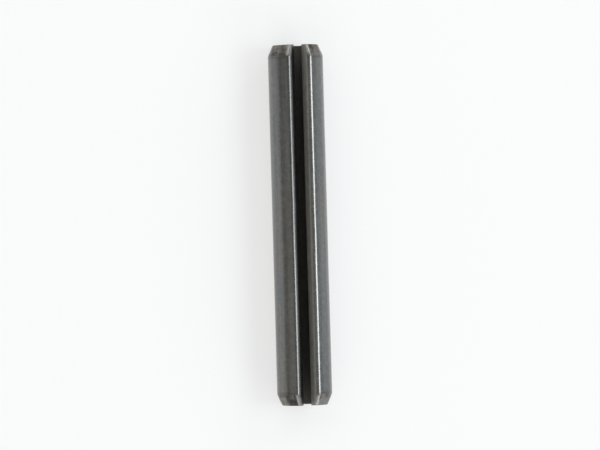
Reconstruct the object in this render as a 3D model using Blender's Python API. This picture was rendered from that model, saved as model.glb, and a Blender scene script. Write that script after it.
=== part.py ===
"""Slotted spring pin for a 3 mm hole, 20 mm long, rolled from spring-steel strip. Metres, +Z up.

The pin lies along Y with its slot straight up, as a loose one settles, because the closed side of its
C section is the heavier. The origin is below its middle, on the line that it rests on.
"""

import math

import bmesh
import bpy
from mathutils import Matrix, Vector

# Driving sizes of the free pin, before it is pressed into its hole
OUTER_DIAMETER = 0.00305
WALL = 0.0006
LENGTH = 0.020
SLOT_WIDTH = 0.001  # between the outer corners of the two lips, before they are rounded
LIP_FLAT = 0.0003  # run by each edge of the strip that is too short to bend, and stays straight

# End chamfers, pressed into the wall, which is thinner there
CHAMFER_LENGTH = 0.00062
CHAMFER_DEPTH = 0.00027

# Rounded edges, each as the distance from the sharp edge to where the rounding starts
LIP_ROUND = 0.00026  # outer corner of each lip
LIP_INNER_ROUND = 0.00005  # bore corner of each lip
SHOULDER_ROUND = 0.00006  # where the chamfer meets the outer surface
END_ROUND = 0.00004  # all round each end face

# Facets of the rolled wall. An odd number leaves a facet, and not an edge, at the very bottom.
ROLL_FACETS = 87
LIP_SEGMENTS = 6
EDGE_SEGMENTS = 2
SHARP_ANGLE = math.radians(20)

# Finish: dark oxide left by oil quenching
STEEL_COLOUR = (0.17, 0.168, 0.163, 1.0)
STEEL_ROUGHNESS = 0.3
STEEL_METALLIC = 1.0

OUTER_RADIUS = OUTER_DIAMETER / 2
BORE_RADIUS = OUTER_RADIUS - WALL

# Angle from the middle of the slot to where the bend stops and each lip's straight run starts
BEND_STOP = math.asin(SLOT_WIDTH / 2 / math.hypot(OUTER_RADIUS, LIP_FLAT)) + math.atan2(LIP_FLAT, OUTER_RADIUS)
ROLL_ANGLE = 2 * (math.pi - BEND_STOP)
AXIS_HEIGHT = OUTER_RADIUS * math.cos(ROLL_ANGLE / ROLL_FACETS / 2)

AXIS_POINT = Vector((0.0, 0.0, AXIS_HEIGHT))
AXIS = Vector((0.0, 1.0, 0.0))
LIP_TURN = Matrix.Rotation(BEND_STOP, 3, AXIS)  # from straight up to the lip on the +X side
FAR_LIP_TURN = Matrix.Rotation(-BEND_STOP, 3, AXIS)
LIP_RUN = Vector((LIP_FLAT, 0.0, 0.0))

SHOULDER = LENGTH / 2 - CHAMFER_LENGTH
SAME_RING = CHAMFER_LENGTH / 4  # points this close along the pin belong to one ring
FLAT_EDGE = math.radians(1)  # an edge that turns less than this lies inside a flat face
SQUARE_CORNER = math.radians(60)  # an edge that turns more than this is a corner still to be rounded


def clear_scene():
    for obj in list(bpy.data.objects):
        bpy.data.objects.remove(obj)


def steel():
    material = bpy.data.materials.new("oxide_black_spring_steel")
    material.use_nodes = True
    shader = material.node_tree.nodes["Principled BSDF"]
    shader.inputs["Base Color"].default_value = STEEL_COLOUR
    shader.inputs["Roughness"].default_value = STEEL_ROUGHNESS
    shader.inputs["Metallic"].default_value = STEEL_METALLIC
    return material


def wall_profile(bm):
    """The wall cut lengthwise, as one face at the lip on the +X side, with a point at each shoulder."""
    corners = [
        (BORE_RADIUS, -LENGTH / 2),
        (OUTER_RADIUS, -LENGTH / 2),
        (OUTER_RADIUS, -SHOULDER),
        (OUTER_RADIUS, SHOULDER),
        (OUTER_RADIUS, LENGTH / 2),
        (BORE_RADIUS, LENGTH / 2),
    ]
    verts = [
        bm.verts.new(AXIS_POINT + LIP_TURN @ (Vector((0.0, along, radius)) - LIP_RUN)) for radius, along in corners
    ]
    return bm.faces.new(verts)


def straight_run(bm, geom, move):
    """Carries the profile straight on by one lip's run and returns what the next stretch starts from."""
    swept = bmesh.ops.extrude_face_region(bm, geom=geom)["geom"]
    verts = [part for part in swept if isinstance(part, bmesh.types.BMVert)]
    bmesh.ops.translate(bm, verts=verts, vec=move)
    return swept


def rolled_strip(bm):
    """The closed C of the wall: a straight run at each lip and the rolled stretch between them."""
    face = wall_profile(bm)
    start = straight_run(bm, [face, *face.edges, *face.verts], LIP_TURN @ LIP_RUN)
    rolled = bmesh.ops.spin(
        bm, geom=start, cent=AXIS_POINT, axis=AXIS, dvec=(0.0, 0.0, 0.0), angle=ROLL_ANGLE, steps=ROLL_FACETS
    )
    straight_run(bm, rolled["geom_last"], FAR_LIP_TURN @ LIP_RUN)
    bmesh.ops.recalc_face_normals(bm, faces=bm.faces)


def off_the_bore(point):
    """How far a point stands off the bore's surface, as a vector."""
    place = Vector((abs(point.x), 0.0, point.z - AXIS_HEIGHT))
    on_straight_run = place.dot(LIP_TURN @ LIP_RUN) < 0
    outward = LIP_TURN @ Vector((0.0, 0.0, 1.0)) if on_straight_run else place.normalized()
    stand = outward * (place.dot(outward) - BORE_RADIUS)
    return Vector((math.copysign(stand.x, stand.x * point.x), 0.0, stand.z))


def press_chamfers(bm):
    """Squeezes the wall at both ends towards the bore, which tapers it from the shoulders on."""
    for vert in bm.verts:
        if abs(vert.co.y) > SHOULDER + SAME_RING:
            vert.co -= off_the_bore(vert.co) * (CHAMFER_DEPTH / WALL)
    bm.normal_update()


def length_along(edge):
    return abs(edge.verts[0].co.y - edge.verts[1].co.y)


def lip_corners(bm, outer):
    """The square corners that run along the slot: the outer ones, or else those in the bore."""
    corners = [
        edge for edge in bm.edges if length_along(edge) > SAME_RING and edge.calc_face_angle() > SQUARE_CORNER
    ]
    return [edge for edge in corners if (off_the_bore(edge.verts[0].co).length > WALL / 2) == outer]


def ring(bm, along):
    """The edges that run round the pin at that distance from its middle, towards either end."""
    edges = [edge for edge in bm.edges if length_along(edge) < SAME_RING and edge.calc_face_angle() > FLAT_EDGE]
    return [edge for edge in edges if abs(abs(edge.verts[0].co.y) - along) < SAME_RING]


def round_edges(bm, edges, distance, segments):
    bmesh.ops.bevel(
        bm,
        geom=edges,
        offset=distance,
        offset_type="OFFSET",
        affect="EDGES",
        segments=segments,
        profile=0.5,
        material=-1,
        clamp_overlap=True,
    )


def spring_pin():
    bm = bmesh.new()
    rolled_strip(bm)
    round_edges(bm, lip_corners(bm, outer=True), LIP_ROUND, LIP_SEGMENTS)
    round_edges(bm, lip_corners(bm, outer=False), LIP_INNER_ROUND, EDGE_SEGMENTS)
    press_chamfers(bm)
    round_edges(bm, ring(bm, SHOULDER), SHOULDER_ROUND, EDGE_SEGMENTS)
    round_edges(bm, ring(bm, LENGTH / 2), END_ROUND, EDGE_SEGMENTS)
    mesh = bpy.data.meshes.new("spring_pin")
    bm.to_mesh(mesh)
    bm.free()
    mesh.materials.append(steel())
    mesh.shade_smooth()
    mesh.set_sharp_from_angle(angle=SHARP_ANGLE)
    pin = bpy.data.objects.new("spring_pin", mesh)
    bpy.context.scene.collection.objects.link(pin)
    return pin


def main():
    clear_scene()
    spring_pin()


main()
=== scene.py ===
# %% [markdown]
# # A slotted spring pin in dark oxide
#
# A spring pin is a strip of spring steel rolled into an open C, 20 mm long and 3 mm thick. It is
# pressed into a drilled hole that is a little too small for it, its slot closes, and its own
# spring holds it there. This lesson rolls the strip in Blender, gives it the small faults of a
# real one, and finishes it as oil-quenched steel. The packed model comes first. It is the fixed
# frame: the pin that is made here lies exactly where it lies.

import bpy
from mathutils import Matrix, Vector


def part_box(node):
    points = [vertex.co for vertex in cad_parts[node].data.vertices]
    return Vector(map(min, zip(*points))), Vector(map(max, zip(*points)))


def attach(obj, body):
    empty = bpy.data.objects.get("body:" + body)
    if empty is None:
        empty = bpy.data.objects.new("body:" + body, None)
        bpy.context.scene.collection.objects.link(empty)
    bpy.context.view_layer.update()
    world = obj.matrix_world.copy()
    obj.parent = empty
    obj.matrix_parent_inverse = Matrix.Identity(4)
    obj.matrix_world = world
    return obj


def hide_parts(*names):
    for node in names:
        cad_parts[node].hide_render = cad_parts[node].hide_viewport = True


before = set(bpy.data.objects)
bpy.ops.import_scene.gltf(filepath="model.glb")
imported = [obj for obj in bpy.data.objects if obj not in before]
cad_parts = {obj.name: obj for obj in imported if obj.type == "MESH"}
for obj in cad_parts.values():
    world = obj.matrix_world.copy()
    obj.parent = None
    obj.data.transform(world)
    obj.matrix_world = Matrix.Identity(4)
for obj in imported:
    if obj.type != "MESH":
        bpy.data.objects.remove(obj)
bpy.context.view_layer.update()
MM = 0.001  # everything in the scene is in metres
print("packed nodes:", sorted(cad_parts))

# %% [markdown]
# ## The pin's sizes
#
# Length and diameter are read from the packed model, so the two can't disagree. The wall, the
# slot and the edges are the sizes that the pin was designed with. The strip's two edges are too
# short for the rolls to bend, so the C has a straight run at each lip. BEND_STOP is the angle
# from the middle of the slot to where the bend stops and that straight run starts.

# %% Name the sizes
import math
from random import Random

import bmesh
import bpy
from mathutils import Matrix, Vector, noise

node_low, node_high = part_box("spring_pin")
LENGTH = node_high.y - node_low.y
OUTER_RADIUS = (node_high.x - node_low.x) / 2
WALL = 0.60 * MM
SLOT_WIDTH = 1.00 * MM  # between the outer corners of the lips, before they are rounded
LIP_FLAT = 0.30 * MM

CHAMFER_LENGTH = 0.62 * MM
CHAMFER_DEPTH = 0.27 * MM

LIP_ROUND = 0.26 * MM
LIP_INNER_ROUND = 0.05 * MM
SHOULDER_ROUND = 0.06 * MM
END_ROUND = 0.04 * MM

BORE_RADIUS = OUTER_RADIUS - WALL
SHOULDER = LENGTH / 2 - CHAMFER_LENGTH  # how far from the middle both chamfers start
BEND_STOP = (
    math.asin(SLOT_WIDTH / 2 / math.hypot(OUTER_RADIUS, LIP_FLAT))
    + math.atan2(LIP_FLAT, OUTER_RADIUS)
)

AXIS = Vector((0.0, 1.0, 0.0))
UP = Vector((0.0, 0.0, 1.0))
AXIS_POINT = Vector((0.0, 0.0, node_low.z + OUTER_RADIUS))
LIP_RUN = Vector((LIP_FLAT, 0.0, 0.0))
LIP_TURN = Matrix.Rotation(BEND_STOP, 3, AXIS)  # from straight up to the lip on the +X side
FAR_LIP_TURN = Matrix.Rotation(-BEND_STOP, 3, AXIS)
print("bore radius in mm:", round(BORE_RADIUS / MM, 3))
print("the bend stops at", round(math.degrees(BEND_STOP), 1), "degrees")

# %% [markdown]
# ## Rolling the strip
#
# The real pin is formed from flat strip between rolls. The bmesh spin operator does the same: the
# wall, cut lengthwise, is one face, and it is carried straight on over the first lip's run, round
# the axis, and straight on again over the other lip's. A Screw modifier would give a plain C, but
# a spin leaves geometry that can be extruded, rounded and cut.

# %% Spin the wall from lip to lip
ROLL_STEPS = 149


def wall_profile(bm):
    """The wall cut lengthwise, as one face at the +X lip, with a point at each shoulder."""
    corners = [
        (BORE_RADIUS, -LENGTH / 2),
        (OUTER_RADIUS, -LENGTH / 2),
        (OUTER_RADIUS, -SHOULDER),
        (OUTER_RADIUS, SHOULDER),
        (OUTER_RADIUS, LENGTH / 2),
        (BORE_RADIUS, LENGTH / 2),
    ]
    verts = []
    for radius, along in corners:
        place = Vector((0.0, along, radius)) - LIP_RUN
        verts.append(bm.verts.new(AXIS_POINT + LIP_TURN @ place))
    return bm.faces.new(verts)


def straight_run(bm, geom, move):
    """Carries the profile on by one lip's run and returns what the next stretch starts from."""
    swept = bmesh.ops.extrude_face_region(bm, geom=geom)["geom"]
    verts = [part for part in swept if isinstance(part, bmesh.types.BMVert)]
    bmesh.ops.translate(bm, verts=verts, vec=move)
    return swept


def rolled_strip(bm):
    """The closed C of the wall: the rolled stretch, with a straight run at each lip."""
    face = wall_profile(bm)
    start = straight_run(bm, [face, *face.edges, *face.verts], LIP_TURN @ LIP_RUN)
    rolled = bmesh.ops.spin(
        bm,
        geom=start,
        cent=AXIS_POINT,
        axis=AXIS,
        dvec=(0.0, 0.0, 0.0),
        angle=2 * (math.pi - BEND_STOP),
        steps=ROLL_STEPS,
    )
    straight_run(bm, rolled["geom_last"], FAR_LIP_TURN @ LIP_RUN)
    bmesh.ops.recalc_face_normals(bm, faces=bm.faces)


pin_mesh = bmesh.new()
rolled_strip(pin_mesh)
print("rolled strip:", len(pin_mesh.faces), "faces")

# %% [markdown]
# ## Where a point lies on the pin
#
# Every later step asks the same question of a point: which way is outwards there, and how far
# does the point stand off the bore? On the rolled stretch, outwards is away from the axis. On a
# lip's straight run it is square to that run. The pin is its own mirror image, so the sum is done
# on the +X side and the result is mirrored back.

# %% Find outwards and the height over the bore


def mirrored(vector, point):
    """The vector turned to the side of the slot that the point lies on."""
    return Vector((math.copysign(1.0, point.x) * vector.x, vector.y, vector.z))


def on_lip(point):
    """Whether the point lies beyond where the bend stops, on a lip's straight run."""
    place = mirrored(point - AXIS_POINT, point)
    return place.z > 0 and place.dot(LIP_TURN @ LIP_RUN) < 0


def outward(point):
    """The direction that is square to the wall there, away from the bore."""
    if on_lip(point):
        return mirrored(LIP_TURN @ UP, point)
    away = point - AXIS_POINT
    return Vector((away.x, 0.0, away.z)).normalized()


def over_bore(point):
    """How far the point stands off the bore's surface."""
    return (point - AXIS_POINT).dot(outward(point)) - BORE_RADIUS


print("outwards at the +X lip:", [round(part, 3) for part in LIP_TURN @ UP])

# %% [markdown]
# ## Rounding the lips and pressing the ends
#
# The strip comes with rounded edges, the ends are pressed in a die, and the pins are tumbled
# after hardening, so no edge is sharp. Each bright line on such a pin is one of these roundings
# catching the lamp, so their widths matter more than anything else here. The order is that of the
# real thing: the lips are rounded first, and then the press squeezes the wall at both ends towards
# the bore, roundings and all, which is why a lip line curves inwards over the chamfer. A chamfer
# cut into the outline before the spin would keep the lips' full height, and look turned.

# %% Round the lips, press the ends, round the shoulders
LIP_SEGMENTS = 8
EDGE_SEGMENTS = 3
SAME_RING = CHAMFER_LENGTH / 4  # points this close along the pin belong to one ring
FLAT_EDGE = math.radians(1)  # an edge that turns less than this lies inside a flat face
SQUARE_CORNER = math.radians(60)  # one that turns more is a corner still to be rounded


def length_along(edge):
    return abs(edge.verts[0].co.y - edge.verts[1].co.y)


def lip_corners(bm, outer):
    """The square corners that run along the slot: the outer ones, or else those in the bore."""
    long_edges = [edge for edge in bm.edges if length_along(edge) > SAME_RING]
    corners = [edge for edge in long_edges if edge.calc_face_angle() > SQUARE_CORNER]
    return [edge for edge in corners if (over_bore(edge.verts[0].co) > WALL / 2) == outer]


def ring(bm, along):
    """The edges that run round the pin at that distance from its middle, towards either end."""
    round_it = [edge for edge in bm.edges if length_along(edge) < SAME_RING]
    bent = [edge for edge in round_it if edge.calc_face_angle() > FLAT_EDGE]
    return [edge for edge in bent if abs(abs(edge.verts[0].co.y) - along) < SAME_RING]


def round_edges(bm, edges, distance, segments):
    bmesh.ops.bevel(
        bm,
        geom=edges,
        offset=distance,
        offset_type="OFFSET",
        affect="EDGES",
        segments=segments,
        profile=0.5,
        material=-1,
        clamp_overlap=True,
    )


def press_chamfers(bm):
    """Squeezes the wall at both ends towards the bore, which tapers it from the shoulders on."""
    for vert in bm.verts:
        if abs(vert.co.y) > SHOULDER + SAME_RING:
            vert.co -= outward(vert.co) * over_bore(vert.co) * (CHAMFER_DEPTH / WALL)
    bm.normal_update()


round_edges(pin_mesh, lip_corners(pin_mesh, outer=True), LIP_ROUND, LIP_SEGMENTS)
round_edges(pin_mesh, lip_corners(pin_mesh, outer=False), LIP_INNER_ROUND, EDGE_SEGMENTS)
press_chamfers(pin_mesh)
round_edges(pin_mesh, ring(pin_mesh, SHOULDER), SHOULDER_ROUND, EDGE_SEGMENTS)
round_edges(pin_mesh, ring(pin_mesh, LENGTH / 2), END_ROUND, EDGE_SEGMENTS)
print("rounded:", len(pin_mesh.faces), "faces")

# %% [markdown]
# ## Cutting the surface finer
#
# So far each face runs the whole length of the pin. The small faults that come next need points
# along the way, so planes cut the chamfers into rings, and the long stretch between the shoulders
# is subdivided. Two planes first square off that stretch, so that every face in it, the slot's
# included, is a plain four-sided one that subdivides into a clean row. Edges that are wide across
# the pin, on the slot's faces and on the ends, are subdivided too. A Subdivision modifier would
# cut every face alike, and most of its points would be wasted on faces that are narrow already.

# %% Cut the chamfers, the wide faces and the long stretch
STRETCH_END = SHOULDER - 3 * SHOULDER_ROUND  # from the middle, clear of the shoulder's rounding
STRETCH_CUTS = 217
CHAMFER_CUTS = 7
WIDE_EDGE = 0.10 * MM
WIDE_CUTS = 4
CUT_SNAP = 0.001 * MM


def cut_across(bm, along):
    """A cut right through the pin, square to its axis."""
    geom = [*bm.verts, *bm.edges, *bm.faces]
    bmesh.ops.bisect_plane(
        bm, geom=geom, dist=CUT_SNAP, plane_co=(0.0, along, 0.0), plane_no=AXIS
    )


chamfer_start = SHOULDER + SHOULDER_ROUND
chamfer_step = (LENGTH / 2 - END_ROUND - chamfer_start) / (CHAMFER_CUTS + 1)
for end_sign in (-1, 1):
    cut_across(pin_mesh, end_sign * STRETCH_END)
    for step in range(1, CHAMFER_CUTS + 1):
        cut_across(pin_mesh, end_sign * (chamfer_start + step * chamfer_step))
edges_across = [edge for edge in pin_mesh.edges if length_along(edge) < CUT_SNAP]
wide_edges = [edge for edge in edges_across if edge.calc_length() > WIDE_EDGE]
bmesh.ops.subdivide_edges(pin_mesh, edges=wide_edges, cuts=WIDE_CUTS)
stretch_edges = [edge for edge in pin_mesh.edges if length_along(edge) > STRETCH_END]
bmesh.ops.subdivide_edges(pin_mesh, edges=stretch_edges, cuts=STRETCH_CUTS)
pin_mesh.normal_update()
print("cut finer:", len(pin_mesh.faces), "faces")

# %% [markdown]
# ## Marking the kinds of surface
#
# One strip carries several finishes. Its rolled face is smooth, its slit edges are rougher, and
# its bore never touched a tool after rolling. Tumbling burnishes the crest of each lip, one more
# than the other, and the rim of each end. The die rubs the chamfers. Below each shoulder a thin
# dark ring is painted on: a painted dark reflection, in place of the dim room that the curve
# there mirrors. A material for each group of faces would meet the next in a hard border, so
# each kind is instead a number from 0 to 1 at every point, kept in the mesh as an attribute for
# one material to read. A point's normal says which kind it is: it looks outwards on the rolled
# face, inwards in the bore, across the slot on a slit edge, and along the pin on an end.

# %% Name the kinds and where each begins
# "ring" is no finish of the steel: it is a painted dark reflection, a dark band below each
# shoulder
KINDS = ("lip", "burnished", "pressed", "ring", "slit", "bore", "end")

# How squarely the normal looks that way, from where the kind begins to where it is complete
OUTER_FACE = (0.10, 0.40)
LIP_ROUNDING = (0.05, 0.30)  # both outwards and across the slot
LIP_CREST = (0.60, 0.95)
SLIT_FACE = (0.80, 0.97)
BORE_FACE = (0.20, 0.70)
END_ROUNDING = (0.45, 0.65)
END_FACE = (0.75, 0.98)

CHAMFER_BEGINS = (-0.04 * MM, 0.05 * MM)  # past the shoulder
PAINTED_SHADE_RING_PLACE = 0.10 * MM  # how far below the shoulder the painted dark ring lies, and half its width

# The two slit edges are never worn alike, nor equally rough
RIGHT, LEFT = 1, -1
LIP_WEAR = {RIGHT: 0.7, LEFT: 0.1}
SLIT_BRIGHT = {RIGHT: 1.0, LEFT: 0.2}

PRESSED_LIP_WEAR = 0.8  # the die slides over both lips alike
END_WEAR = 0.25
LIP_OVER_PRESSED = 0.8  # how much of the chamfer's look the lip's rounding hides
SLOTWARD = LIP_TURN @ Vector((-1.0, 0.0, 0.0))  # from the +X lip into the slot
print("kinds of surface:", ", ".join(KINDS))

# %% Mark each point


def smooth(value, low, high):
    """Rises smoothly from 0 at low to 1 at high."""
    share = min(max((value - low) / (high - low), 0.0), 1.0)
    return share * share * (3 - 2 * share)


def hump(value, half_width):
    """Rises smoothly to 1 where the value is 0, and falls again to 0 at half_width."""
    return smooth(1 - abs(value) / half_width, 0.0, 1.0)


def kinds_of_surface(point, normal):
    """How far the point belongs to each of the kinds."""
    side = RIGHT if point.x > 0 else LEFT
    outwards = normal.dot(outward(point))
    slotwards = normal.dot(mirrored(SLOTWARD, point)) if on_lip(point) else 0.0
    endwards = abs(normal.y)
    past_shoulder = abs(point.y) - SHOULDER

    outer = smooth(outwards, *OUTER_FACE)
    end = smooth(endwards, *END_FACE)
    lip = smooth(slotwards, *LIP_ROUNDING) * smooth(outwards, *LIP_ROUNDING)
    pressed = outer * smooth(past_shoulder, *CHAMFER_BEGINS) * (1 - end)
    lip_wear = LIP_WEAR[side] + pressed * (PRESSED_LIP_WEAR - LIP_WEAR[side])
    end_wear = END_WEAR * smooth(endwards, *END_ROUNDING) * (1 - end)
    return {
        "lip": lip,
        "burnished": max(lip * lip_wear * smooth(outwards, *LIP_CREST), end_wear),
        "pressed": pressed * (1 - LIP_OVER_PRESSED * lip),
        # painted shade: the dark band below each shoulder, standing in for a dark reflection
        "ring": outer * (1 - lip) * hump(past_shoulder + PAINTED_SHADE_RING_PLACE, PAINTED_SHADE_RING_PLACE),
        "slit": smooth(slotwards, *SLIT_FACE) * SLIT_BRIGHT[side],
        "bore": smooth(-outwards, *BORE_FACE),
        "end": end,
    }


layers = {kind: pin_mesh.verts.layers.float.new(kind) for kind in KINDS}
for vert in pin_mesh.verts:
    for kind, share in kinds_of_surface(vert.co, vert.normal).items():
        vert[layers[kind]] = share
for kind, layer in layers.items():
    print("points that are", kind + ":", sum(vert[layer] > 0.5 for vert in pin_mesh.verts))

# %% [markdown]
# ## The faults of a real pin
#
# A perfect C looks like plastic. A real one is a few micrometres out of round, because it is
# closed in several strokes. Its lips wander, because the strip was slit between round knives. The
# die presses its ends unevenly, they are sheared, and tumbling leaves a few nicks. All of these
# are far too small to see as shapes, but each bends the lamp's reflection, and that is what the
# eye reads as steel. They are moved into the mesh, not painted, so they show from every side. The
# noise is Blender's own and the nicks are drawn with a fixed seed, so every run is alike.

# %% Name the ripples and draw the nicks
UM = 0.001 * MM

# Each ripple's height, the length of its waves along the pin and round it, and its seed
RIPPLES = {
    "out of round": (6.0 * UM, 6.0 * MM, 1.6 * MM, 3.0),
    "strokes": (2.2 * UM, 1.5 * MM, 0.8 * MM, 11.0),
    "lip wander": (14.0 * UM, 2.6 * MM, 1.0 * MM, 20.0),
    "lip wobble": (5.0 * UM, 0.7 * MM, 1.0 * MM, 40.0),
    "shoulder": (30.0 * UM, 4.0 * MM, 0.7 * MM, 60.0),
    "chamfer": (8.0 * UM, 0.24 * MM, 0.18 * MM, 80.0),
    "slit face": (4.0 * UM, 0.5 * MM, 0.15 * MM, 100.0),
    "end face": (9.0 * UM, 0.3 * MM, 0.14 * MM, 120.0),
}

NICKS = 11
NICK_HALF_WIDTH_MM = (0.05, 0.12)
NICK_DEPTH_UM = (6, 14)
NICK_REACH = 3  # in half widths, past which a nick is too shallow to count
NICK_SEED = 20

chance = Random(NICK_SEED)


def ripple(name, point, seed_shift=0.0):
    """How far the ripple of that name moves the point."""
    height, along, around, seed = RIPPLES[name]
    seed += seed_shift
    return height * noise.noise(
        Vector((point.x / around, point.y / along + seed, point.z / around))
    )


def draw_nick():
    """A small dent in the rolled surface: its middle, its half width and its depth."""
    turn = Matrix.Rotation(chance.uniform(BEND_STOP, 2 * math.pi - BEND_STOP), 3, AXIS)
    along = chance.uniform(-SHOULDER, SHOULDER)
    middle = AXIS_POINT + turn @ Vector((0.0, along, OUTER_RADIUS))
    half_width = chance.uniform(*NICK_HALF_WIDTH_MM) * MM
    return middle, half_width, chance.uniform(*NICK_DEPTH_UM) * UM


def nick_depth(point, nicks):
    """How deep the nicks are at the point, all together."""
    depth = 0.0
    for middle, half_width, deepest in nicks:
        if abs(point.y - middle.y) < NICK_REACH * half_width:
            distance = (point - middle).length / half_width
            depth += deepest * math.exp(-distance * distance)
    return depth


nicks = [draw_nick() for _ in range(NICKS)]
deepest_nick = max(depth for _, _, depth in nicks)
print("nicks:", len(nicks), "deepest", round(deepest_nick / UM, 1), "micrometres")

# %% Move the points
# How steeply a point lies over the very middle of the axis, from where a lip begins to wander to
# where it wanders most. Both lips run straight outside the middle quarter of the pin.
OVER_MIDDLE = (0.4, 0.8)
LIP_SEED_SHIFT = 5.0  # up for one lip and down for the other, so that each wanders its own way
SHOULDER_REACH = 0.3 * MM  # how far from the shoulder its wandering is felt
END_SET_BACK = 6.3 * UM  # the ends' ripples lie this much inwards, and add hardly any length


def fault(point, normal, shares):
    """The whole move of one point."""
    on_axis = Vector((0.0, point.y, 0.0))
    seed_shift = math.copysign(LIP_SEED_SHIFT, point.x)
    over_middle = smooth((point - AXIS_POINT).normalized().z, *OVER_MIDDLE)
    near_shoulder = hump(abs(point.y) - SHOULDER, SHOULDER_REACH)

    outwards = ripple("out of round", point) + ripple("strokes", point)
    across = ripple("lip wander", on_axis, seed_shift) + ripple("lip wobble", on_axis, seed_shift)
    rough = shares["pressed"] * ripple("chamfer", point)
    rough += shares["slit"] * ripple("slit face", point)
    rough += shares["end"] * (ripple("end face", point) - END_SET_BACK)
    rough -= (1 - shares["bore"]) * nick_depth(point, nicks)

    move = outward(point) * outwards + normal * rough
    return move + Vector((over_middle * across, near_shoulder * ripple("shoulder", point), 0.0))


farthest = 0.0
for vert in pin_mesh.verts:
    shares = {kind: vert[layer] for kind, layer in layers.items()}
    move = fault(vert.co, vert.normal, shares)
    farthest = max(farthest, move.length)
    vert.co += move
    vert.co.z = max(vert.co.z, node_low.z)  # nothing sinks into what the pin lies on
pin_mesh.normal_update()
print("farthest move:", round(farthest / UM, 1), "micrometres")

# %% [markdown]
# ## Making it one piece
#
# The bmesh becomes a mesh on an object of its own, which stays at the origin, because every point
# is in its place already. The piece rides on the pin's one body and stands for the packed node,
# which stays underneath for collision. Smooth shading is enough: every edge has a real rounding,
# so none has to be marked sharp.

# %% Make the pin's object
mesh = bpy.data.meshes.new("rolled_pin")
pin_mesh.to_mesh(mesh)
pin_mesh.free()
mesh.shade_smooth()
pin = bpy.data.objects.new("rolled_pin", mesh)
bpy.context.scene.collection.objects.link(pin)
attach(pin, "root")
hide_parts("spring_pin")
print("triangles:", sum(len(face.vertices) - 2 for face in mesh.polygons))

# %% [markdown]
# ## Writing shader maths as Python
#
# A material is a graph of small nodes, and sums written as nodes are hard to read. This class
# wraps one output of a node. Arithmetic on it adds the Math nodes, and its node method adds any
# other node. Drawing the graph by hand in the Shader Editor gives the same result, but a change of
# one number is easier to find in an expression.

# %% A socket that does arithmetic
COLOUR_A, COLOUR_B, COLOUR_OUT = 6, 7, 2  # the Mix node's sockets when it mixes colours


class Signal:
    """One output of a shader node. Arithmetic on signals adds Math nodes."""

    def __init__(self, tree, socket=None):
        self.tree = tree
        self.socket = socket

    def node(self, kind, settings=None, inputs=None, output=0):
        """Adds a node of that kind, sets it up, feeds its inputs and returns one output."""
        made = self.tree.nodes.new(kind)
        for name, value in (settings or {}).items():
            setattr(made, name, value)
        for name, value in (inputs or {}).items():
            if isinstance(value, Signal):
                self.tree.links.new(value.socket, made.inputs[name])
            else:
                made.inputs[name].default_value = value
        return Signal(self.tree, made.outputs[output] if made.outputs else None)

    def math(self, operation, *values):
        return self.node("ShaderNodeMath", {"operation": operation}, dict(enumerate(values)))

    def __add__(self, other):
        return self.math("ADD", self, other)

    def __radd__(self, other):
        return self.math("ADD", other, self)

    def __sub__(self, other):
        return self.math("SUBTRACT", self, other)

    def __rsub__(self, other):
        return self.math("SUBTRACT", other, self)

    def __mul__(self, other):
        return self.math("MULTIPLY", self, other)

    def __rmul__(self, other):
        return self.math("MULTIPLY", other, self)

    def __abs__(self):
        return self.math("ABSOLUTE", self)

    def rise(self, low, high):
        """0 up to low, 1 from high on, and a smooth step between them."""
        settings = {"interpolation_type": "SMOOTHSTEP"}
        inputs = {"Value": self, "From Min": low, "From Max": high}
        return self.node("ShaderNodeMapRange", settings, inputs)

    def fall(self, low, high):
        """1 up to low, 0 from high on, and a smooth step between them."""
        return 1.0 - self.rise(low, high)

    def blend(self, first, second):
        """The colour first where this value is 0, and second where it is 1."""
        inputs = {"Factor": self, COLOUR_A: first, COLOUR_B: second}
        return self.node("ShaderNodeMix", {"data_type": "RGBA"}, inputs, COLOUR_OUT)

    def shaded(self, shade):
        """This colour made darker or brighter by the number shade."""
        inputs = {"Vector": self, "Scale": shade}
        return self.node("ShaderNodeVectorMath", {"operation": "SCALE"}, inputs)


def empty_graph(owner):
    """Clears the nodes of a material or the world and returns a signal to build them from."""
    owner.use_nodes = True
    owner.node_tree.nodes.clear()
    return Signal(owner.node_tree)


print("a signal has:", ", ".join(name for name in vars(Signal) if not name.startswith("_")))

# %% [markdown]
# ## Oil-quenched spring steel
#
# The dark skin is an oxide about a micrometre thick. It is a poor mirror, so the steel is a metal
# with a low reflection of about 0.17, and what is seen is mostly the room in it. Three things keep
# it from looking like paint: streaks and fine lines along the pin, drawn in by the rolls; a mottle
# and a grain that break each highlight; and clouds where the oxide is a little thicker or thinner,
# which shift it towards brown or blue.
#
# Each kind of surface marked above then lies over that skin with a colour and a roughness of its
# own. The chamfers carry dark and pale flutes where the die rubbed them, and faint brown stains.
# The slit faces are paler and duller, because the knives tore them. The bore is dark and dull, and
# the sheared ends are banded. Scratches and stains could also be painted on an image, but noise in
# millimetres from the pin's axis needs no seam, and holds up at any distance.

# %% The steel's colours and roughnesses
OXIDE_WARM = (0.173, 0.170, 0.164, 1.0)
OXIDE_COOL = (0.162, 0.168, 0.170, 1.0)
LIP = (0.142, 0.139, 0.132, 1.0)
BURNISHED = (0.430, 0.405, 0.378, 1.0)
# painted dark reflection, laid on just below each shoulder
PAINTED_SHADE_RING = (0.100, 0.098, 0.095, 1.0)
PRESSED_DARK = (0.058, 0.055, 0.050, 1.0)
PRESSED_BRIGHT = (0.228, 0.220, 0.205, 1.0)
PRESSED_BROWN = (0.150, 0.122, 0.097, 1.0)
SLIT = (0.295, 0.288, 0.268, 1.0)
BORE = (0.098, 0.092, 0.084, 1.0)
END_DARK = (0.118, 0.107, 0.093, 1.0)
END_BRIGHT = (0.188, 0.173, 0.151, 1.0)

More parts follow.
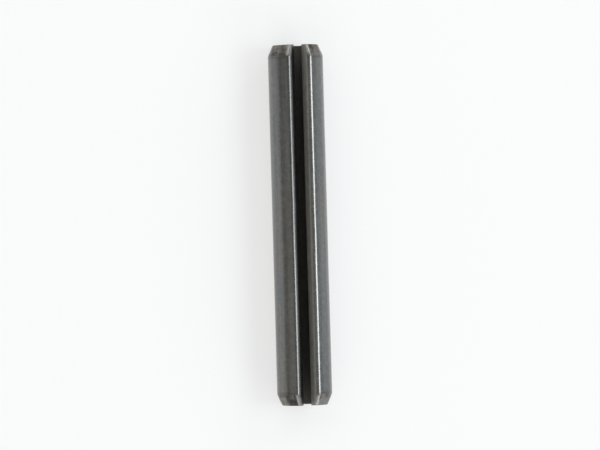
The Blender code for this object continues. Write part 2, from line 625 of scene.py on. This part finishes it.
ROLLED_ROUGHNESS = 0.26
ROUGHNESS_OF = {"burnished": 0.28, "pressed": 0.33, "slit": 0.62, "bore": 0.60, "end": 0.46}
print("finishes on the pin:", 1 + len(KINDS))

# %% The patterns in the skin
EVEN = (1.0, 1.0, 1.0)
ALONG_THE_PIN = (1.0, 0.03, 1.0)
ACROSS_THE_END = (0.06, 1.0, 1.0)

# Each pattern's waves to the millimetre, its stretch, its detail and its roughness. It is drawn
# out along each axis where its stretch is small, and its values lie round PATTERN_MIDDLE.
PATTERN_MIDDLE = 0.5
PATTERNS = {
    "clouds": (0.5, (1.0, 0.45, 1.0), 3.0, 0.55),
    "streaks": (2.5, ALONG_THE_PIN, 3.0, 0.55),
    "lines": (13.0, ALONG_THE_PIN, 3.0, 0.55),
    "mottle": (4.0, EVEN, 4.0, 0.60),
    "grain": (18.0, EVEN, 2.0, 0.55),
    "flutes": (1.9, (1.0, 0.3, 1.0), 3.0, 0.55),
    "stains": (1.6, EVEN, 3.0, 0.55),
    "shear": (11.0, ACROSS_THE_END, 3.0, 0.55),
}


def noise_patterns(graph):
    """The signal of each pattern, placed in millimetres from the pin's axis."""
    to_mm = {"Location": -AXIS_POINT / MM, "Scale": (1 / MM, 1 / MM, 1 / MM)}
    coordinates = graph.node("ShaderNodeTexCoord", output="Object")
    place = graph.node("ShaderNodeMapping", inputs={"Vector": coordinates, **to_mm})
    patterns = {}
    for name, (scale, stretch, detail, roughness) in PATTERNS.items():
        drawn_out = graph.node("ShaderNodeMapping", inputs={"Vector": place, "Scale": stretch})
        inputs = {"Scale": scale, "Detail": detail, "Roughness": roughness, "Vector": drawn_out}
        patterns[name] = graph.node("ShaderNodeTexNoise", inputs=inputs)
    return patterns


def varied(level, patterns, amounts):
    """The level, moved up and down by each pattern times its amount."""
    for name, amount in amounts.items():
        level = level + (patterns[name] - PATTERN_MIDDLE) * amount
    return level


print("patterns in the skin:", len(PATTERNS))

# %% [markdown]
# ## Laying one finish over another
#
# The kinds of surface are laid over the skin in turn, each by its share at that point, as glazes
# are laid on a pot. Where two meet they pass into each other, and the later one wins. The same
# could be done with a Mix Shader for each kind, but then an export would have a pile of shaders to
# make sense of. Here the steel stays one shader, in which only the colour, the roughness and the
# bump change from place to place, and those three can be baked.

# %% The steel's colour
SHADE_BY = {"streaks": 0.7, "lines": 0.4, "mottle": 0.6, "grain": 0.4}
SPECKS_BY = {"flutes": 0.5, "mottle": 0.3, "grain": 0.2}
BANDS_BY = {"shear": 0.7, "mottle": 0.3}

# Where a pattern turns from one colour to the other. The closer the two, the harder the border.
CLOUD_BORDER = (0.35, 0.65)
SPECK_BORDER = (0.42, 0.60)
STAIN_BORDER = (0.48, 0.66)
BAND_BORDER = (0.38, 0.62)
STAIN_STRENGTH = 0.5


def steel_colour(share_of, patterns):
    """The oxide's colour, with each kind of surface laid over it in turn."""
    specks = varied(PATTERN_MIDDLE, patterns, SPECKS_BY).rise(*SPECK_BORDER)
    stains = patterns["stains"].rise(*STAIN_BORDER) * STAIN_STRENGTH
    bands = varied(PATTERN_MIDDLE, patterns, BANDS_BY).rise(*BAND_BORDER)
    colour_of = {
        "lip": LIP,
        "burnished": BURNISHED,
        # the painted dark reflection below each shoulder
        "ring": PAINTED_SHADE_RING,
        "pressed": stains.blend(specks.blend(PRESSED_DARK, PRESSED_BRIGHT), PRESSED_BROWN),
        "slit": SLIT,
        "bore": BORE,
        "end": bands.blend(END_DARK, END_BRIGHT),
    }
    colour = patterns["clouds"].rise(*CLOUD_BORDER).blend(OXIDE_WARM, OXIDE_COOL)
    for kind, over in colour_of.items():
        colour = share_of[kind].blend(colour, over)
    return colour.shaded(varied(1.0, patterns, SHADE_BY))


print("patterns that shade the colour:", ", ".join(SHADE_BY))

# %% The steel's roughness and its finest bumps
ROUGHNESS_BY = {"lines": 0.12, "mottle": 0.14}

GRAIN_HEIGHT = 0.8 * UM
MOTTLE_HEIGHT = 3.6 * UM
LINE_HEIGHT = 1.0 * UM
RUBBED_DEEPER = 2.0  # how much more the lines stand out where the die rubbed
SHEAR_HEIGHT = 4.0 * UM


def steel_roughness(share_of, patterns):
    level = ROLLED_ROUGHNESS
    for kind, roughness in ROUGHNESS_OF.items():
        level = level + share_of[kind] * (roughness - ROLLED_ROUGHNESS)
    return varied(level, patterns, ROUGHNESS_BY)


def steel_bumps(graph, share_of, patterns):
    """The bumps that are too fine for the mesh, each one laid on those before it."""
    rubbed = 1.0 + share_of["pressed"] * RUBBED_DEEPER
    heights = (
        (patterns["grain"], GRAIN_HEIGHT),
        (patterns["mottle"], MOTTLE_HEIGHT),
        (patterns["lines"] * rubbed, LINE_HEIGHT),
        (patterns["shear"] * share_of["end"], SHEAR_HEIGHT),
    )
    below = {}
    for wave, height in heights:
        bump = graph.node("ShaderNodeBump", inputs={"Height": wave, "Distance": height, **below})
        below = {"Normal": bump}
    return bump


print("finest bump in micrometres:", round(GRAIN_HEIGHT / UM, 1))

# %% Build the steel
steel = bpy.data.materials.new("oxide_black_spring_steel")
steel_graph = empty_graph(steel)
skin_patterns = noise_patterns(steel_graph)
share_of_kind = {
    kind: steel_graph.node("ShaderNodeAttribute", {"attribute_name": kind}, output="Fac")
    for kind in KINDS
}
steel_shader = steel_graph.node(
    "ShaderNodeBsdfPrincipled",
    inputs={
        "Base Color": steel_colour(share_of_kind, skin_patterns),
        "Roughness": steel_roughness(share_of_kind, skin_patterns),
        "Metallic": 1.0,
        "Normal": steel_bumps(steel_graph, share_of_kind, skin_patterns),
    },
)
steel_graph.node("ShaderNodeOutputMaterial", inputs={"Surface": steel_shader})
pin.data.materials.append(steel)
print("nodes in the steel:", len(steel.node_tree.nodes))

# %% [markdown]
# ## The paper
#
# The pin lies on white paper. Lamps strong enough to turn the paper white would burn out the
# steel, so part of its white is given to it instead: to the camera, and to the rays that mirror or
# pass through, the paper adds a glow of its own. Light Path says which rays those are, and the
# paper still takes the pin's soft shadow.

# %% Lay the paper
PAPER = (0.94, 0.93, 0.92, 1.0)
PAPER_WHITE = (0.98, 0.98, 0.98, 1.0)
PAPER_ROUGHNESS = 0.7
PAPER_LIFT = 0.6  # how much of the paper's look is its own white
PAPER_HALF_SIDE = 1.5
SEEN_RAYS = ("Is Camera Ray", "Is Glossy Ray", "Is Transmission Ray")


def white_paper():
    material = bpy.data.materials.new("white_paper")
    graph = empty_graph(material)
    lit = graph.node(
        "ShaderNodeBsdfPrincipled", inputs={"Base Color": PAPER, "Roughness": PAPER_ROUGHNESS}
    )
    white = graph.node("ShaderNodeEmission", inputs={"Color": PAPER_WHITE, "Strength": 1.0})
    camera_ray, glossy_ray, transmission_ray = (
        graph.node("ShaderNodeLightPath", output=ray) for ray in SEEN_RAYS
    )
    lift = (camera_ray + glossy_ray + transmission_ray) * PAPER_LIFT
    mixed = graph.node("ShaderNodeMixShader", inputs={"Fac": lift, 1: lit, 2: white})
    graph.node("ShaderNodeOutputMaterial", inputs={"Surface": mixed})
    return material


flat = bmesh.new()
bmesh.ops.create_grid(flat, x_segments=1, y_segments=1, size=PAPER_HALF_SIDE)
sheet_mesh = bpy.data.meshes.new("paper")
flat.to_mesh(sheet_mesh)
flat.free()
sheet_mesh.materials.append(white_paper())
sheet = bpy.data.objects.new("paper", sheet_mesh)
bpy.context.scene.collection.objects.link(sheet)
print("paper in metres:", 2 * PAPER_HALF_SIDE, "square")

# %% [markdown]
# ## The lamp and the tent
#
# Metal shows the room that it lies in, so the room is as much a part of its look as the steel. One
# lamp on the right gives the bright lines, and a light tent does the rest. It is darkest overhead,
# paler and cooler on the right, and a little warmer on the left, where it fills the pin's other
# flank, with a dimmer opening low down. It is brightest beyond both ends of the pin and in the
# corners to their right, where it whitens the paper and only the chamfers mirror it. A tent drawn
# in the world shader is smoother than more lamps would be, and metal shows every edge of a lamp.

# %% Hang the lamp
LAMP_DISTANCE = 0.35
KEY_BEARING = math.radians(37)  # from straight up, towards the right
KEY_WIDTH = 0.135
KEY_LENGTH = 0.16
KEY_RADIANCE = 4.7  # how bright its face is, where 1 is white
KEY_COLOUR = (0.85, 0.94, 1.0)

lamp_data = bpy.data.lights.new("key_lamp", "AREA")
lamp_data.shape = "RECTANGLE"
lamp_data.size = KEY_WIDTH
lamp_data.size_y = KEY_LENGTH
lamp_data.energy = KEY_RADIANCE * math.pi * KEY_WIDTH * KEY_LENGTH
lamp_data.color = KEY_COLOUR
lamp = bpy.data.objects.new("key_lamp", lamp_data)
lamp_direction = Vector((math.sin(KEY_BEARING), 0.0, math.cos(KEY_BEARING)))
lamp.location = lamp_direction * LAMP_DISTANCE
lamp.rotation_euler = (0.0, KEY_BEARING, 0.0)
bpy.context.scene.collection.objects.link(lamp)
print("key lamp:", round(lamp_data.energy, 3), "W")

# %% Draw the tent
# How bright the tent is, where 1 is white, and what each glow adds to it
TENT = 0.34
HORIZON_GLOW = 0.2
RIGHT_GLOW = 0.46
LEFT_GLOW = 0.22
END_GLOW = 1.1
CORNER_GLOW = 2.8
OPENING_DARK = 0.4  # the share that the opening takes away
TENT_COOL = (0.94, 0.985, 1.0, 1.0)
TENT_WARM = (1.0, 0.97, 0.91, 1.0)

# The middle of each glow, as its parts to the right, to either end and upwards, and how near to
# it a direction has to be, from where the glow begins to where it is full
RIGHT_AIM, RIGHT_NEAR = (0.94, 0.0, 0.34), (0.60, 0.95)
END_AIM, END_NEAR = (-0.25, 0.72, 0.65), (0.84, 0.99)
CORNER_AIM, CORNER_NEAR = (0.55, 0.68, 0.48), (0.94, 0.995)

# Where each of these fades, as the direction's part to the right or, for the horizon, upwards
LEFT_FADES = (-0.75, -0.10)
OPENING_FADES = (-1.0, -0.9)
HORIZON_FADES = (0.0, 0.3)


def nearness(direction, aim):
    """How near the direction lies to the aim: 1 on it, and 0 at a right angle to it."""
    to_right, to_end, upwards = (part * share for part, share in zip(direction, aim))
    return to_right + to_end + upwards


def tent_light(graph):
    """The tent's light, by the direction that is looked in."""
    look = graph.node("ShaderNodeTexCoord", output="Generated")
    to_right, to_end, upwards = (
        graph.node("ShaderNodeSeparateXYZ", inputs={"Vector": look}, output=part)
        for part in "XYZ"
    )
    direction = (to_right, abs(to_end), upwards)
    right = nearness(direction, RIGHT_AIM).rise(*RIGHT_NEAR)
    ends = nearness(direction, END_AIM).rise(*END_NEAR)
    corners = nearness(direction, CORNER_AIM).rise(*CORNER_NEAR)
    left = to_right.fall(*LEFT_FADES)
    opening = to_right.fall(*OPENING_FADES)
    horizon = upwards.fall(*HORIZON_FADES)

    walls = TENT + horizon * HORIZON_GLOW + right * RIGHT_GLOW + left * LEFT_GLOW
    walls = walls * (1.0 - opening * OPENING_DARK)
    strength = walls + ends * END_GLOW + corners * CORNER_GLOW
    colour = left.blend(TENT_COOL, TENT_WARM)
    return graph.node("ShaderNodeBackground", inputs={"Color": colour, "Strength": strength})


tent = bpy.data.worlds.new("tent")
tent_graph = empty_graph(tent)
tent_graph.node("ShaderNodeOutputWorld", inputs={"Surface": tent_light(tent_graph)})
bpy.context.scene.world = tent
print("nodes in the tent:", len(tent.node_tree.nodes))

# %% [markdown]
# ## The camera
#
# A long lens keeps the pin's two sides parallel, as on a catalogue picture. The camera stands a
# little to the left of straight overhead, so the slot shows right of the pin's middle with one of
# its faces, and it is rolled, so the pin stands slightly askew. Its distance is worked out from
# the share of the picture's height that the pin is to fill, so a change of lens keeps the framing.

# %% Set up the camera
LENS = 250.0  # in millimetres, as the sensor's width is
CLIP_START, CLIP_END = 0.01, 10.0
PICTURE_WIDTH, PICTURE_HEIGHT = 600, 450
PIN_SHARE_OF_HEIGHT = 0.8
LEAN = math.radians(8.2)
ROLL = math.radians(-1.6)

eye_data = bpy.data.cameras.new("camera")
eye_data.lens = LENS
eye_data.clip_start = CLIP_START
eye_data.clip_end = CLIP_END
pin_on_sensor = eye_data.sensor_width * PIN_SHARE_OF_HEIGHT * PICTURE_HEIGHT / PICTURE_WIDTH
eye_distance = LENS * LENGTH / pin_on_sensor

eye_back = Vector((-math.sin(LEAN), 0.0, math.cos(LEAN)))
eye_right = AXIS.cross(eye_back)
eye_turn = Matrix((eye_right, AXIS, eye_back)).transposed() @ Matrix.Rotation(ROLL, 3, "Z")
eye = bpy.data.objects.new("camera", eye_data)
eye.matrix_world = Matrix.Translation(AXIS_POINT + eye_back * eye_distance) @ eye_turn.to_4x4()
bpy.context.scene.collection.objects.link(eye)
bpy.context.scene.camera = eye
bpy.context.scene.view_settings.view_transform = "Standard"
print("camera distance in mm:", round(eye_distance / MM, 1))

# %% [markdown]
# ## The finished scene
#
# The pin, the paper, the lamp, the tent and the camera are all in the scene now.
